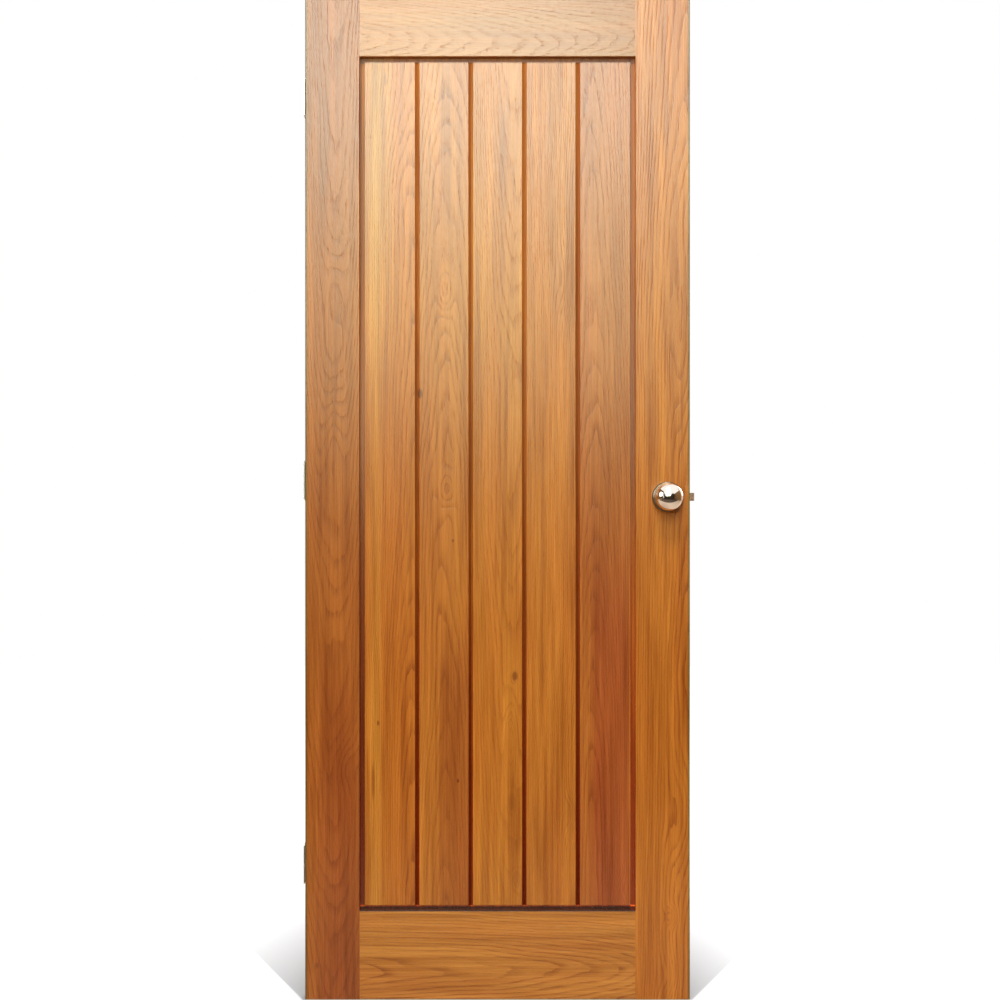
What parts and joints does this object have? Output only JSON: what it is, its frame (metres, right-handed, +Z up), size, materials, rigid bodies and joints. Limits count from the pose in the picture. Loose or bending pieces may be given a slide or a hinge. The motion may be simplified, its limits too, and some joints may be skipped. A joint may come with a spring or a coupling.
{
  "type": "boarded oak door leaf",
  "caption": "Internal oak door leaf with V-jointed upright boards in a stile-and-rail frame, butt hinges, a tubular latch and round polished knobs.",
  "frame": {"origin": "middle of the leaf's bottom edge, at half its thickness", "axes": "+X from the hinge edge to the lock edge, -Y out of the front face, +Z up"},
  "size_m": [0.779, 0.155, 1.981],
  "materials": {
    "oak_frame": "honey oak stain under satin lacquer",
    "oak_boards": "honey oak stain under satin lacquer, darker in the joints",
    "beech_dowels": "bare beech",
    "hinge_steel": "satin steel",
    "screw_steel": "bright zinc",
    "latch_steel": "zinc plated, dull",
    "bright_plate": "polished nickel plate",
    "spring_steel": "drawn spring wire",
    "bright_chrome": "polished"
  },
  "bodies": {
    "hinge_side": {"hinge_top_frame_leaf": "hinge_steel", "hinge_middle_frame_leaf": "hinge_steel", "hinge_bottom_frame_leaf": "hinge_steel", "hinge_top_pin": "hinge_steel", "hinge_middle_pin": "hinge_steel", "hinge_bottom_pin": "hinge_steel"},
    "door_leaf": {"hinge_stile": "oak_frame", "lock_stile": "oak_frame", "top_rail": "oak_frame", "bottom_rail": "oak_frame", "board_1": "oak_boards", "board_2": "oak_boards", "board_3": "oak_boards", "board_4": "oak_boards", "board_5": "oak_boards", "dowels": "beech_dowels", "hinge_top_door_leaf": "hinge_steel", "hinge_middle_door_leaf": "hinge_steel", "hinge_bottom_door_leaf": "hinge_steel", "hinge_screws": "screw_steel", "latch_case": "latch_steel", "latch_faceplate": "bright_plate", "faceplate_screws": "screw_steel", "latch_spring": "spring_steel", "front_rose": "bright_chrome", "rear_rose": "bright_chrome", "front_rose_plate": "latch_steel", "rear_rose_plate": "latch_steel", "rose_screws": "screw_steel"},
    "knob_set": {"front_knob": "bright_chrome", "rear_knob": "bright_chrome", "spindle": "latch_steel", "latch_follower": "latch_steel", "grub_screws": "screw_steel"},
    "bolt": {"latch_bolt": "bright_plate"}
  },
  "joints": [
    {"name": "door_swing", "type": "hinge", "parent": "hinge_side", "child": "door_leaf", "pos_m": [-0.3825, 0.0223, 1.028], "axis": [0, 0, 1], "range_deg": [0, 180]},
    {"name": "knob_turn", "type": "hinge", "parent": "door_leaf", "child": "knob_set", "pos_m": [0.336, 0, 0.995], "axis": [0, -1, 0], "range_deg": [0, 65], "stiffness_Nm_per_rad": 0.35, "springref_deg": -20.05},
    {"name": "bolt_slide", "type": "slide", "parent": "door_leaf", "child": "bolt", "axis": [-1, 0, 0], "range_m": [0, 0.011], "deforming": ["latch_spring"]}
  ],
  "couplings": [
    {"joint": "bolt_slide", "follows": "knob_turn", "m_per_rad": 0.009696}
  ]
}
